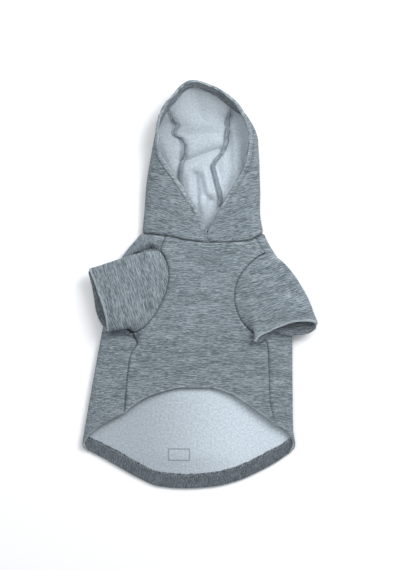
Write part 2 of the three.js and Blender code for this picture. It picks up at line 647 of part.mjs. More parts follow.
// Share of the rows of the body that the hem's facing covers at one column
function hemRow(point, width, share) {
  const below = facets.bodyRows[0] / bodyRows;
  return (width * share * below) / (point(below).y - point(0).y);
}
const backFacing = (u, v) => backSheet(u, hemRow((row) => backSheet(u, row).point, hemFacingWidth, v));
const bellyFacing = (u, v) => bellySheet(u, hemRow((row) => bellyPoint(u, row), hemFacingWidth, v));

// Follows the hood's cloth in from the rim for a given width
function insideRim(station, width) {
  const step = 0.005;
  let out = 1;
  let walked = 0;
  let place = hoodPoint(station, out);
  while (walked < width) {
    const next = hoodPoint(station, out - step);
    const pace = next.distanceTo(place);
    if (walked + pace >= width) return out - (step * (width - walked)) / pace;
    walked += pace;
    out -= step;
    place = next;
  }
  return out;
}
const rimFacing = (u, v) => {
  const station = paced([0, 1, 2, 3], facets.rim, v);
  return hoodSheet(station, lerp(1, insideRim(station, rimFacingWidth), u));
};
// The overlocked edges lie on the centre panel, just inside each seam
const allowanceRows = { from: 3, count: 15 };
const allowance = (side) => (u, v) => {
  const row = paced(hoodKnots, facets.hoodRows, (allowanceRows.from + v * allowanceRows.count) / hoodRows);
  const seam = along(hoodSeams, "row", side.column, row);
  return hoodCloth(side.sign * (seam - (allowanceWidth / hoodWidth) * (u + 0.1)), row);
};

const cloth = { color: 0x8a949b, roughness: 0.95, metalness: 0 };
const inner = { color: 0x70777c, roughness: 0.95, metalness: 0 };
const group = new THREE.Group();
function addPiece(name, geometry, look) {
  const mesh = new THREE.Mesh(geometry, new THREE.MeshStandardMaterial(look));
  mesh.name = name;
  group.add(mesh);
}
const half = wall / 2;
const curvedFar = curvedNear + facingWall;
const backColumns = 2 * sum(facets.back);
addPiece("back_panel", clothPanel(backColumns, bodyRows, -half, half, backSheet), cloth);
addPiece("belly_panel", clothPanel(facets.belly, bodyRows, -half, half, bellySheet), cloth);
addPiece("back_hem_facing", clothPanel(backColumns, 1, -facingFar, -facingNear, backFacing), inner);
addPiece("belly_hem_facing", clothPanel(facets.belly, 1, -facingFar, -facingNear, bellyFacing), inner);
for (const side of [left, right]) {
  const tube = sleeveSheet(side, [0, cuffRow, 1], facets.sleeveRows);
  const deep = sleeveSheet(side, [cuffRow, 1], [facets.sleeveRows[1]]);
  const sleeveCloth = clothTube(facets.sleeve, sum(facets.sleeveRows), -half, half, tube);
  const cuffFacing = clothTube(facets.sleeve, facets.sleeveRows[1], -facingFar, -facingNear, deep);
  const hoodPanel = clothPanel(sum(facets.hoodSide), hoodRows, -half, half, hoodSide(side));
  const seamAllowance = clothPanel(1, allowanceRows.count, -curvedFar, -curvedNear, allowance(side));
  addPiece(`sleeve_${side.column}`, sleeveCloth, cloth);
  addPiece(`cuff_facing_${side.column}`, cuffFacing, inner);
  addPiece(`hood_${side.column}`, hoodPanel, cloth);
  addPiece(`hood_allowance_${side.column}`, seamAllowance, cloth);
}
addPiece("hood_centre", clothPanel(facets.hoodCentre, hoodRows, -half, half, hoodCentre), cloth);
addPiece("hood_rim_facing", clothPanel(1, sum(facets.rim), -curvedFar, -curvedNear, rimFacing), inner);

const box = new THREE.Box3().setFromObject(group);
const shift = new THREE.Vector3(-(box.min.x + box.max.x) / 2, -(box.min.y + box.max.y) / 2, -box.min.z);
for (const mesh of group.children) mesh.geometry.translate(shift.x, shift.y, shift.z);

export default group;
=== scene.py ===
import bisect
import math
from types import SimpleNamespace

import bmesh
import bpy
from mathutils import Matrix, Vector, noise


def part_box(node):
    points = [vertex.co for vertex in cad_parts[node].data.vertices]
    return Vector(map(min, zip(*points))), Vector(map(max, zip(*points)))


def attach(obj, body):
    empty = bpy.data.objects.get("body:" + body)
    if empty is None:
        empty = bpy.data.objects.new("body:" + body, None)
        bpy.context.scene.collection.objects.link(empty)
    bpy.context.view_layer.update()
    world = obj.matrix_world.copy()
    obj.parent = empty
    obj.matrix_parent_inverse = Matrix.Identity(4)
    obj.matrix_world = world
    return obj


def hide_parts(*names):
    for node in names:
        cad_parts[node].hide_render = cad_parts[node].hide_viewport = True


# A fleece-backed dog hoodie lying on its back, belly side up, seen from straight above.
# Shapes are worked out in millimetres from the neck line (y = 0), as on the pattern,
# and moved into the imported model's frame when a mesh is made.
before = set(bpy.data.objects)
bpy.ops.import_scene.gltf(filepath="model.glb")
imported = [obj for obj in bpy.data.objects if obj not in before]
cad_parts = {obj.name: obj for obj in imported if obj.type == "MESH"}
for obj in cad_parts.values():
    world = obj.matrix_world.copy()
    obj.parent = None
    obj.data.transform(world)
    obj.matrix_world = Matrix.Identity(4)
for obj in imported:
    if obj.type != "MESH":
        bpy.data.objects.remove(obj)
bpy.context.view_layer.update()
scene = bpy.context.scene

cloth = {
    "wall": 2.2,  # sweatshirt knit with its brushed fleece
    "facingWall": 1.6,
    "seamGap": 0.3,
    "seamDepth": 1.9,  # how deep a sewn edge dives
    "seamSpread": 1.2,
    "seamSwell": 0.3,  # how far the cloth swells beside it
    "swellAway": 4,
    "swellSpread": 2,
    "puckerHeight": 0.45,
    "puckerPitch": 6.5,
    "puckerReach": 6,
    "slitEdge": 1.3,
    "stitchDepth": 0.35,
    "stitchSpread": 1.2,
    "crowding": 0.55,  # mesh rows stand closer together near the edges
}
body = {
    "backLength": 278,
    "bodyWidth": 210,
    "hemWidth": 236,
    "neckWidth": 134,
    "bellyLength": 167,
    "hemCornerDown": 231,
    "hemFacing": 15,
    "sideFold": 6.5,
    "archHeight": 11,
    "hemHeight": 12,
    "chestHeight": 18,
    "neckHeight": 18,
    "neckDip": 8,
    "napeRise": 5,
    "squareness": 5,
    "leftSquareness": 3,  # the left side rolls down more slowly
    "cornerTuck": 3.5,  # how far the sides turn in at the hem's corners
    "tuckStart": 5,
    "tuckRun": 11,
    "armholeDepth": 91.67,
    "armholeTopRound": 0.85,
    "armholeBottomRound": 0.65,
}
bodyWidth, backLength = body["bodyWidth"], body["backLength"]
hemWidth, neckWidth = body["hemWidth"], body["neckWidth"]
wall = cloth["wall"]
floorLevel = wall / 2

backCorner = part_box("back_panel")[0]
shiftX = backCorner[0] * 1000 + 0.55 * hemWidth
shiftY = backCorner[1] * 1000 + backLength


def toFrame(place):
    return Vector(((place[0] + shiftX) / 1000, (place[1] + shiftY) / 1000, place[2] / 1000))


def lerp(a, b, share):
    return a + (b - a) * share


def clamp(value, low=0.0, high=1.0):
    return max(low, min(high, value))


def ease(value):
    value = clamp(value)
    return value * value * (3 - 2 * value)


def smoothCurve(knots, values):
    # a smooth line through the values that never overshoots them
    steps = [(b - a) / (q - p) for a, b, p, q in zip(values, values[1:], knots, knots[1:])]
    slopes = [steps[0]]
    slopes += [2 * a * b / (a + b) if a * b > 0 else 0 for a, b in zip(steps, steps[1:])]
    slopes += [steps[-1]]

    def at(x):
        if x <= knots[0]:
            return values[0] + slopes[0] * (x - knots[0])
        if x >= knots[-1]:
            return values[-1] + slopes[-1] * (x - knots[-1])
        i = bisect.bisect_right(knots, x) - 1
        span = knots[i + 1] - knots[i]
        t = (x - knots[i]) / span
        return (lerp(values[i], values[i + 1], t * t * (3 - 2 * t))
                + t * (1 - t) * (1 - t) * span * slopes[i]
                - t * t * (1 - t) * span * slopes[i + 1])
    return at


def curvesOf(*rows):
    # the first column holds the places, and each other column becomes a smooth line through them
    places, *columns = zip(*rows)
    return [smoothCurve(places, values) for values in columns]


def curveOf(*rows):
    return curvesOf(*rows)[0]


def paced(knots, counts, share):
    # walks through the stages between the knots, with the given count of mesh rows in each
    at = share * sum(counts)
    for stage, count in enumerate(counts[:-1]):
        if at <= count:
            return lerp(knots[stage], knots[stage + 1], at / count)
        at -= count
    return lerp(knots[-2], knots[-1], at / counts[-1])


# body outline, seen from above: how far down, the left edge and the right edge
neckCorner = 0.375 * body["neckDip"]
outlineLeft, outlineRight = curvesOf(
    (-body["hemCornerDown"], -0.55 * hemWidth, 0.45 * hemWidth),
    (-0.755 * backLength, -0.535 * hemWidth, 0.437 * hemWidth),
    (-0.597 * backLength, -0.564 * bodyWidth, 0.489 * bodyWidth),
    (-0.388 * backLength, -0.514 * bodyWidth, 0.487 * bodyWidth),
    (-0.218 * backLength, -0.466 * bodyWidth, 0.461 * bodyWidth),
    (-0.095 * backLength, -0.414 * bodyWidth, 0.414 * bodyWidth),
    (-0.047 * backLength, -0.37 * bodyWidth, 0.375 * bodyWidth),
    (neckCorner, -0.472 * neckWidth, 0.525 * neckWidth),
)
# the middle line: how far down, how far across, and how high the upper cloth is
middleAxis, middleHeight = curvesOf(
    (-backLength, -0.06 * bodyWidth, body["archHeight"]),
    (-0.75 * backLength, -0.05 * bodyWidth, body["archHeight"]),
    (-0.6 * backLength, -0.03 * bodyWidth, body["hemHeight"]),
    (-0.33 * backLength, -0.01 * bodyWidth, body["chestHeight"]),
    (neckCorner, 0.056 * neckWidth, body["neckHeight"]),
)
# the hems, from the left corner to the right one: place, the belly's arch and the back's drop
archCurve, dropCurve = curvesOf(
    (-1, 0, 0.13),
    (-0.88, 0.17, 0.26),
    (-0.67, 0.47, 0.52),
    (-0.47, 0.77, 0.77),
    (-0.28, 0.92, 0.95),
    (-0.03, 1.01, 1),
    (0.23, 1.01, 0.96),
    (0.45, 0.9, 0.84),
    (0.68, 0.63, 0.61),
    (0.87, 0.31, 0.38),
    (1, 0, 0.19),
)
# the neck line, from left to right: place, the dip of its front and the rise of its nape
frontCurve, napeCurve = curvesOf(
    (-1, 0.375, 0.6),
    (-0.6, -0.05, 0.85),
    (-0.3, -0.62, 1),
    (0.05, -0.95, 1),
    (0.7, -0.7, 0.85),
    (1, 0.375, 0.6),
)


def hemArch(across):
    rise = body["hemCornerDown"] - body["bellyLength"]
    return rise * archCurve(across) - body["hemCornerDown"]


def hemDrop(across):
    drop = backLength - body["hemCornerDown"]
    return -body["hemCornerDown"] - drop * dropCurve(across)


def neckFront(across):
    return body["neckDip"] * frontCurve(across)


def neckBack(across):
    return body["napeRise"] * napeCurve(across)


# what differs from side to side; the lips are the curves of the cuff's two edges
left = SimpleNamespace(
    name="left", sign=-1, outline=outlineLeft, squareness=body["leftSquareness"],
    top=Vector((-0.205 * bodyWidth, -0.058 * backLength)),
    drop=Vector((-0.14 * bodyWidth, -body["armholeDepth"])),
    front=0.1 * bodyWidth, back=0.12 * bodyWidth, shoulder=0.03 * bodyWidth, hemAcross=-0.6,
    cuff=Vector((-0.526 * bodyWidth, -0.255 * backLength, 18.5)), cuffTurn=-73, cuffTilt=3,
    lean=Vector((-8, 5, 17)),
    sideSeam=curveOf(
        (0, 0), (0.128, 0.021 * bodyWidth), (0.23, -0.006 * bodyWidth),
        (0.333, -0.021 * bodyWidth), (0.58, -0.033 * bodyWidth), (1, -0.047 * bodyWidth)),
    upperLip=curveOf(
        (0, 0), (0.22, 0.025), (0.43, 0.035), (0.62, 0.04), (0.78, 0.033), (0.9, 0.015), (1, 0)),
    lowerLip=curveOf(
        (0, 0), (0.04, 0.018), (0.22, 0.027), (0.44, 0.053), (0.65, 0.083), (0.78, 0.075),
        (0.9, 0.04), (1, 0)),
    gape=curveOf((0, 0), (0.25, 0.6), (0.6, 1), (0.85, 0.6), (1, 0)),
)
right = SimpleNamespace(
    name="right", sign=1, outline=outlineRight, squareness=body["squareness"],
    top=Vector((0.342 * bodyWidth, -0.065 * backLength)),
    drop=Vector((-0.02 * bodyWidth, -body["armholeDepth"])),
    front=0.15 * bodyWidth, back=0.07 * bodyWidth, shoulder=-0.053 * bodyWidth, hemAcross=0.84,
    cuff=Vector((0.451 * bodyWidth, -0.382 * backLength, 22.5)), cuffTurn=-164, cuffTilt=7,
    lean=Vector((25, 2, 15)),
    sideSeam=curveOf(
        (0, 0), (0.12, 0.035 * bodyWidth), (0.75, 0.048 * bodyWidth), (1, 0.075 * bodyWidth)),
    upperLip=curveOf(
        (0, 0), (0.05, 0.045), (0.18, 0.095), (0.36, 0.13), (0.55, 0.12), (0.66, 0.105),
        (0.75, 0.09), (0.89, 0.07), (1, 0)),
    lowerLip=curveOf(
        (0, 0), (0.05, 0.07), (0.18, 0.1), (0.36, 0.073), (0.55, 0), (0.65, -0.083),
        (0.75, -0.075), (0.82, -0.02), (0.95, 0.015), (1, 0)),
    gape=curveOf((0, 0), (0.15, 0.8), (0.35, 1), (0.6, 0.2), (0.7, 0), (1, 0)),
)


def silhouette(side, y):
    # the middle of the cloth runs inside the outline, and turns in more at the hem's corners
    past = clamp((body["tuckStart"] - body["hemCornerDown"] - y) / body["tuckRun"])
    tuck = wall / 2 + body["cornerTuck"] * past ** 2
    return side.outline(min(y, neckCorner)) - side.sign * tuck


def axisAt(y):
    return middleAxis(min(y, neckCorner))


def reachAt(side, x, y):
    axis = axisAt(y)
    return clamp((x - axis) / (silhouette(side, y) - axis))


for side in (left, right):
    side.bottom = side.top + side.drop
    side.hemY = hemArch(side.hemAcross)
    side.neckX = side.top.x + side.shoulder
    side.neckY = neckFront(side.sign * reachAt(side, side.neckX, neckCorner))


def edgeX(side, half, y):
    if y > side.top.y:
        return side.top.x + side.shoulder * (y - side.top.y) / (side.neckY - side.top.y)
    if y < side.bottom.y:
        return side.bottom.x + side.sideSeam((side.bottom.y - y) / (side.bottom.y - side.hemY))
    share = (y - side.bottom.y) / (side.top.y - side.bottom.y)
    swing = 2 * share - 1
    roundness = body["armholeTopRound"] if swing > 0 else body["armholeBottomRound"]
    bow = max(0, 1 - swing * swing) ** roundness
    reach = -side.sign * side.front if half == "front" else side.sign * side.back
    return lerp(side.bottom.x, side.top.x, share) + reach * bow


# creases pressed into the upper cloth: from, to, width and depth; a ridge has a negative depth
upperCreases = [
    ((-94, -105.5), (-71, -113), 4.6, 9.5),
    ((-42, -75), (27, -76), 5, 0.8),
    ((71, -117), (84, -172), 10, 1.2),
    ((-97, -31), (-70, -20.5), 2.6, 10),
    ((-70, -20.5), (-53, -13), 2.4, 6.5),
    ((-53, -13), (-46, -16), 2.2, 3.5),
    ((-82, -13), (-50, -4), 6, -3.5),
    ((-58, -6), (-45, -8), 4, -3.0),
    ((-66, -121), (-70, -131), 3, 2.0),
    ((-62, -125), (-20, -112), 9, -1.2),
    ((-20, -150), (40, -148), 8, 0.8),
    ((10, -20), (45, -38), 7, -0.9),
]


def creaseDepth(creases, x, y):
    depth = 0
    for (fromX, fromY), (toX, toY), width, deep in creases:
        runX, runY = toX - fromX, toY - fromY
        share = clamp(((x - fromX) * runX + (y - fromY) * runY) / (runX * runX + runY * runY))
        away = math.hypot(x - fromX - runX * share, y - fromY - runY * share)
        depth += deep * math.exp(-((away / width) ** 2))
    return depth


def upperHeight(x, y):
    side = left if x < axisAt(y) else right
    reach = reachAt(side, x, y)
    swell = math.sqrt(1 - reach ** side.squareness)
    fade = 1 - reach ** 4
    return (body["sideFold"] + (middleHeight(y) - body["sideFold"]) * swell
            - creaseDepth(upperCreases, x, y) * fade)


bodyRows = [44, 58, 11]
bellyColumns = 112


def rowY(v, knots):
    stage = paced([0, 1, 2, 3], bodyRows, v)
    hem, bottom, top, neck = knots
    if stage <= 1:
        return lerp(hem, bottom, stage)
    if stage >= 2:
        return lerp(top, neck, stage - 2)
    return lerp(bottom, top, (1 - math.cos(math.pi * (stage - 1))) / 2)


def bellyPoint(u, v):
    neckX = lerp(left.neckX, right.neckX, u)
    side = left if neckX < axisAt(0) else right
    gap = cloth["seamGap"] / 2
    hem = hemArch(lerp(left.hemAcross, right.hemAcross, u))
    bottom = lerp(left.bottom.y, right.bottom.y, u)
    top = lerp(left.top.y, right.top.y, u)
    neck = neckFront(side.sign * reachAt(side, neckX, neckCorner)) - gap
    y = rowY(v, (hem, bottom, top, neck))
    x = lerp(edgeX(left, "front", y) + gap, edgeX(right, "front", y) - gap, u)
    return Vector((x, y, upperHeight(x, y)))


def flapReach(side, y, share):
    power = side.squareness
    edge = reachAt(side, edgeX(side, "back", y) + side.sign * cloth["seamGap"] / 2, y)
    return math.cos(lerp(math.acos(edge ** (power / 2)), 0, share)) ** (2 / power)


def neckUnder(side, stage):
    if stage > 1:
        return neckBack(side.sign * (2 - stage))
    return lerp(neckFront(side.sign), neckBack(side.sign), math.sin(stage * math.pi / 2))


def backPoint(side, stage, v):
    flap, roll, centre = clamp(stage), clamp(stage - 1), clamp(stage - 2)
    other = right if side is left else left
    gap = cloth["seamGap"] / 2
    hemAcross = side.sign * lerp(abs(side.hemAcross), 1, flap)
    neckAcross = side.sign * flapReach(side, side.neckY, flap)
    turn = roll * math.pi / 2
    if stage <= 1:
        hem, neck = hemArch(hemAcross), neckFront(neckAcross)
    else:
        hem = lerp(-body["hemCornerDown"], hemDrop(side.sign * (1 - centre)), math.sin(turn))
        neck = neckUnder(side, stage - 1)
    bottom = lerp(side.bottom.y, other.bottom.y, centre / 2)
    top = lerp(side.top.y, other.top.y, centre / 2)
    y = rowY(v, (hem, bottom, top, neck - gap))
    axis, outer = axisAt(y), silhouette(side, y)
    if stage <= 1:
        x = axis + (outer - axis) * flapReach(side, y, flap)
        return Vector((x, y, upperHeight(x, y)))
    radius = body["sideFold"] - floorLevel
    x = lerp(outer - side.sign * radius * (1 - math.cos(turn)), axis, centre)
    return Vector((x, y, body["sideFold"] - radius * math.sin(turn) + backHump(x, y)))


hump = {
    "height": 6.5,
    "middle": -8,
    "spread": 52,
    "upperEnd": -140,
    "upperFade": 40,
    "lowerEnd": -268,
    "lowerFade": 30,
}


def backHump(x, y):
    # the bare part of the back rises a little along its middle
    high = ease((hump["upperEnd"] - y) / hump["upperFade"])
    high *= ease((y - hump["lowerEnd"]) / hump["lowerFade"])
    return hump["height"] * high * math.exp(-(((x - hump["middle"]) / hump["spread"]) ** 2))


backColumns = [22, 7, 56]


def backSurface(u, v):
    side = left if u <= 0.5 else right
    return backPoint(side, paced([0, 1, 2, 3], backColumns, 2 * min(u, 1 - u)), v)


# sleeves
cuffs = {
    "width": 71,
    "gape": 17,
    "fold": 3.6,
    "facing": 14,
    "frontRise": 19,
    "backRise": 28,
    "endRise": 50,
    "frontReach": 26,
    "backReach": 18,
    "endReach": 15,
    "handle": 0.42,  # the longest bend, as a share of the way from the armhole to the cuff
    "reach": 24,
    "fall": 12,
    "foldShare": 0.16,  # how much of the way across each rounded end takes
    "seamInset": 0.2,
    "seamStand": 1.2,  # how far the folds stand clear of the armhole, in thicknesses of the cloth
    "columns": 136,
    "rows": 50,
}


def cuffSection(side, share):
    # from one folded end of the flattened cuff to the other: place along it and half its opening
    fold, edge = cuffs["fold"], cuffs["foldShare"]
    turn = min(share, 1 - share, edge) / edge * math.pi / 2
    inside = clamp((share - edge) / (1 - 2 * edge))
    half = cuffs["width"] / 2 - fold
    out = fold * math.cos(turn) * (-1 if share < 0.5 else 1)
    lay = lerp(-half, half, inside) + out
    gaping = (cuffs["gape"] / 2 - fold) * side.gape(lay / cuffs["width"] + 0.5)
    return lay, fold * math.sin(turn) + gaping


def sleevePoint(side, turn, v):
    swing, bulge = math.cos(2 * math.pi * turn), math.sin(2 * math.pi * turn)
    turn = turn % 1
    lay, lift = cuffSection(side, 2 * min(turn, 1 - turn))
    front, back = max(0, bulge), max(0, -bulge)
    ends = 1 - abs(bulge)
    y = lerp(side.bottom.y, side.top.y, (1 + swing) / 2)
    seam = Vector((edgeX(side, "front" if bulge >= 0 else "back", y), y, 0))
    hubX = side.top.x + side.drop.x / 2 + side.sign * (side.back - side.front) / 2
    hub = Vector((hubX, side.top.y + side.drop.y / 2, 0))
    inward = (hub - seam).normalized()
    standing = ends * ends if bulge > 0 else math.sqrt(ends)
    seam += inward * (cuffs["seamInset"] + cuffs["seamStand"] * wall * standing)
    seam.z = upperHeight(seam.x, seam.y)
    degrees = cuffs["frontRise"] * front + cuffs["backRise"] * back + cuffs["endRise"] * ends
    rise = math.radians(degrees)
    reach = cuffs["frontReach"] * front + cuffs["backReach"] * back + cuffs["endReach"] * ends
    leave = inward * math.cos(rise) + Vector((0, 0, math.sin(rise)))
    spin = math.radians(side.cuffTurn)
    across = Vector((math.cos(spin), math.sin(spin), 0))
    outward = Vector((-side.sign * across.y, side.sign * across.x, 0))
    place = lay / cuffs["width"] + 0.5
    lip = -side.upperLip(place) if bulge > 0 else side.lowerLip(place)
    end = side.cuff + across * lay + outward * lip * cuffs["width"]
    end.z += math.copysign(lift, bulge) + side.cuffTilt * lay / cuffs["width"]
    fall = math.radians(cuffs["fall"])
    arrive = outward * math.cos(fall) - Vector((0, 0, math.sin(fall)))
    # where the armhole comes close to the cuff, the cloth has no length to bend in
    near = (end - seam).length * cuffs["handle"]
    first = (seam + leave * min(reach, near)).lerp(seam + side.lean, max(0, swing) ** 5)
    last = end - arrive * min(cuffs["reach"], near)
    a, b, c, d = (1 - v) ** 3, 3 * v * (1 - v) ** 2, 3 * v * v * (1 - v), v ** 3
    return seam * a + first * b + last * c + end * d


# hood
hood = {
    "width": 125,
    "depth": 29,
    "crownStart": 105,
    "crownFold": 12,
    "crownRound": 18,
    "bowlRound": 40,
    "rimFacing": 11,
    "allowance": 5,
    "floor": 0.45,  # how far out the floor ends, from the middle to the rim
    "fold": 0.65,  # and where the folded edge ends
    "bowlPower": 1.6,
    "sideColumns": 58,
    "centreColumns": 56,
}
hoodWidth, hoodDepth, crownStart = hood["width"], hood["depth"], hood["crownStart"]
# the straight part, from the neck up: place, left edge, right edge, middle line and height
left.hoodEdge, right.hoodEdge, hoodAxis, hoodHeight = curvesOf(
    (neckCorner, -0.472 * neckWidth, 0.525 * neckWidth, 0.072 * neckWidth, body["neckHeight"]),
    (0.24 * crownStart, -0.486 * hoodWidth, 0.536 * hoodWidth, 0.055 * hoodWidth, 0.66 * hoodDepth),
    (0.57 * crownStart, -0.463 * hoodWidth, 0.533 * hoodWidth, 0.05 * hoodWidth, 0.8 * hoodDepth),
    (crownStart, -0.405 * hoodWidth, 0.519 * hoodWidth, 0.048 * hoodWidth, hoodDepth),
)
# the face opening, from the slit up: place, half its width on the left and on the right
left.opening, right.opening = curvesOf(
    (0, 0.003, 0.004),
    (0.05, 0.004, 0.008),
    (0.1, 0.008, 0.026),
    (0.19, 0.038, 0.145),
    (0.33, 0.175, 0.275),
    (0.57, 0.465, 0.56),
    (0.77, 0.745, 0.76),
    (0.89, 0.87, 0.81),
    (1, 0.93, 0.85),
)
# round the crown, from its left end to its right one: degrees, half width, rim, height and bowl
crownHalf, crownRim, crownHeight, crownBowl = curvesOf(
    (0, 0.453 * hoodWidth, 0.93, hoodDepth, 0),
    (25, 0.47 * hoodWidth, 0.95, 0.97 * hoodDepth, 0.3),
    (50, 0.482 * hoodWidth, 0.97, 0.92 * hoodDepth, 0.9),
    (75, 0.542 * hoodWidth, 0.97, 0.88 * hoodDepth, 1),
    (95, 0.49 * hoodWidth, 0.97, 0.9 * hoodDepth, 1),
    (122, 0.447 * hoodWidth, 0.95, 0.97 * hoodDepth, 0.75),
    (150, 0.441 * hoodWidth, 0.92, hoodDepth, 0.1),
    (180, 0.471 * hoodWidth, 0.85, hoodDepth, 0),
)
# where the two seams run: how far up and over the hood, and how far from its middle
left.hoodSeam = curveOf(
    (0, 0.25), (0.29, 0.172), (0.46, 0.231), (0.59, 0.266), (0.71, 0.278), (0.79, 0.266),
    (0.875, 0.247), (0.94, 0.252), (1, 0.283), (1.05, 0.345), (1.085, 0.425), (1.14, 0.444),
    (1.23, 0.438), (1.39, 0.545), (1.68, 0.774), (2, 0.9))
right.hoodSeam = curveOf(
    (0, 0.22), (0.24, 0.151), (0.39, 0.165), (0.52, 0.146), (0.65, 0.121), (0.72, 0.108),
    (0.8, 0.159), (0.885, 0.237), (0.97, 0.276), (1.05, 0.301), (1.2, 0.357), (1.41, 0.418),
    (1.66, 0.583), (1.96, 0.72), (2, 0.735))


# the floor of the hood lies rumpled: ridges from, to, width and height, and valleys between them
hoodRidges = [
    ((6, 70), (11, 48), 4, 4.2),
    ((3, 40), (6, 22), 4, 2.8),
    ((-18, 92), (14, 106), 7, 2.2),
    ((-16, 74), (8, 80), 6, 1.8),
    ((-12, 66), (-10, 44), 4, 1.6),
    ((43, 100), (43, 55), 6, 2.2),
    ((27, 96), (27, 60), 4, 1.4),
    ((-38, 100), (-30, 76), 6, 2.2),
    ((-26, 128), (20, 122), 10, 1.6),
]
hoodValleys = [
    ((-14, 83), (22, 96), 3.6, 4.2),
    ((-4.5, 68), (-2.5, 42), 3.2, 4.0),
    ((35, 114), (35, 53), 2.2, 2.8),
    ((13, 38), (9, 16), 4, 5.0),
    ((-22, 104), (-22, 84), 3, 2.2),
    ((-16, 112), (16, 114), 6, 1.6),
]


looseFloor = {
    "lift": 3.2,
    "waver": 1.2,
    "top": 14,  # it lies smooth from this height up
    "fade": 12,
    "start": 14,
    "startFade": 24,
}


def rumple(x, y, z):
    loose = clamp((looseFloor["top"] - z) / looseFloor["fade"])
    loose *= ease((y - looseFloor["start"]) / looseFloor["startFade"])
    if loose == 0:
        return 0
    waver = noise.noise(Vector((x / 17, y / 21, 1.9)))
    lift = looseFloor["lift"] + looseFloor["waver"] * waver
    lift += creaseDepth(hoodRidges, x, y) - creaseDepth(hoodValleys, x, y)
    return max(0, lift) * loose


def hoodPoint(station, out):
    place = hoodShape(station, out)
    place.z += rumple(place.x, place.y, place.z)
    return place


def hoodShape(station, out):
    floor, fold = hood["floor"], hood["fold"]
    isCrown = 1 < station < 2
    side = left if station <= 1 else right
    share = station if side is left else 3 - station
    sectionY = crownStart if isCrown else lerp(neckCorner, crownStart, share)
    axis = hoodAxis(sectionY)
    blend = 1 if isCrown else ease(share)
    foldHeight = lerp(body["sideFold"], hood["crownFold"], blend)
    inset = lerp(body["sideFold"] - floorLevel, hood["crownRound"], blend)
    degrees = 180 * (station - 1)
    if isCrown:
        half, rim, height = crownHalf(degrees), crownRim(degrees), crownHeight(degrees)
    else:
        half, rim = abs(side.hoodEdge(sectionY) - axis), side.opening(share)
        height = hoodHeight(sectionY)
    half -= wall / 2
    away, z = (half - inset) * out / floor, floorLevel
    neckY = neckBack(side.sign * min(1, out / floor))
    if out > fold:
        power = lerp(side.squareness, body["squareness"], blend)
        rimAngle = math.acos(rim ** (power / 2))
        angle = rimAngle * (out - fold) / (1 - fold)
        reach = math.cos(angle) ** (2 / power)
        away = half * reach
        z = foldHeight + (height - foldHeight) * math.sin(angle) / math.sin(rimAngle)
        neckY = neckFront(side.sign * reach)
    elif out > floor:
        angle = (out - floor) / (fold - floor) * math.pi / 2
        away = half - inset * (1 - math.sin(angle))
        z = lerp(floorLevel, foldHeight, 1 - math.cos(angle))
        neckY = neckUnder(side, 1 - (out - floor) / (fold - floor))
    if not isCrown:
        y = lerp(neckY + cloth["seamGap"] / 2, crownStart, share)
        return Vector((axis + side.sign * away, y, z))
    angle = math.pi - math.radians(degrees)
    bowl = crownBowl(degrees)
    climb = max(0, (out - floor) / (1 - floor))
    bowlRound = hood["bowlRound"]
    flared = half - bowlRound * (1 - climb) if out > floor else (half - bowlRound) * out / floor
    away = lerp(away, flared, bowl)
    z = lerp(z, lerp(floorLevel, height, climb ** hood["bowlPower"]), bowl)
    return Vector((axis + away * math.cos(angle), crownStart + away * math.sin(angle), z))


def hoodCloth(across, row):
    if row <= 1:
        return hoodPoint(row if across < 0 else 3 - row, abs(across))
    up = row - 1
    x = across * math.sqrt(1 - up * up / 2)
    y = up * math.sqrt(1 - across * across / 2)
    return hoodPoint(2 - math.atan2(y, x) / math.pi, math.hypot(x, y))


hoodKnots = [0, 1, 1 + hood["floor"], 1 + hood["fold"], 2]
hoodRows = [62, 14, 14, 20]


def hoodSideSurface(side):
    def surface(u, v):
        row = paced(hoodKnots, hoodRows, v)
        seam = side.hoodSeam(row)
        foldEnd = max(hood["fold"], lerp(seam, 1, 0.5))
        floorEnd = max(hood["floor"], lerp(seam, 1, 0.2))
        shaped = paced([1, foldEnd, floorEnd, seam], [30, 14, 10], u)
        return hoodCloth(side.sign * lerp(shaped, lerp(1, seam, u), max(0, row - 1)), row)
    return surface


def hoodCentreSurface(u, v):
    row = paced(hoodKnots, hoodRows, v)
    return hoodCloth(lerp(-left.hoodSeam(row), right.hoodSeam(row), u), row)


# meshes
puckerSeeds = {"left": 7.3, "right": 2.1, "low": 4.7, "high": 4.7}


def crowded(share, ends):
    # draws the rows of a mesh together towards its edges: "both", "low" or none
    if ends == "both":
        return share - cloth["crowding"] * math.sin(2 * math.pi * share) / (2 * math.pi)
    if ends == "low":
        return (share + share * share) / 2
    return share


def gridOn(surface, columns, rows, crowd):
    # a grid of cells laid on the surface, with its points by column and row
    bm = bmesh.new()
    bmesh.ops.create_grid(bm, x_segments=columns, y_segments=rows, size=0.5)
    cells = {}
    for vert in bm.verts:
        i, j = round((vert.co.x + 0.5) * columns), round((vert.co.y + 0.5) * rows)
        cells[i, j] = vert
        vert.co = surface(crowded(i / columns, crowd[0]), crowded(j / rows, crowd[1]))
    return bm, cells


def lengthsOn(cells, columns, rows):
    # how far each point is along its row and up its column, in millimetres
    across, up = {}, {}
    for j in range(rows + 1):
        across[0, j] = 0
        for i in range(1, columns + 1):
            across[i, j] = across[i - 1, j] + (cells[i, j].co - cells[i - 1, j].co).length
    for i in range(columns + 1):
        up[i, 0] = 0
        for j in range(1, rows + 1):
            up[i, j] = up[i, j - 1] + (cells[i, j].co - cells[i, j - 1].co).length
    return across, up


def faceOutwards(bm, hollow):
    middle = Vector(hollow)
    bm.normal_update()
    outward = 0
    for face in bm.faces:
        outward += (face.calc_center_median() - middle).dot(face.normal) * face.calc_area()
    if outward < 0:
        bmesh.ops.reverse_faces(bm, faces=bm.faces)
        bm.normal_update()


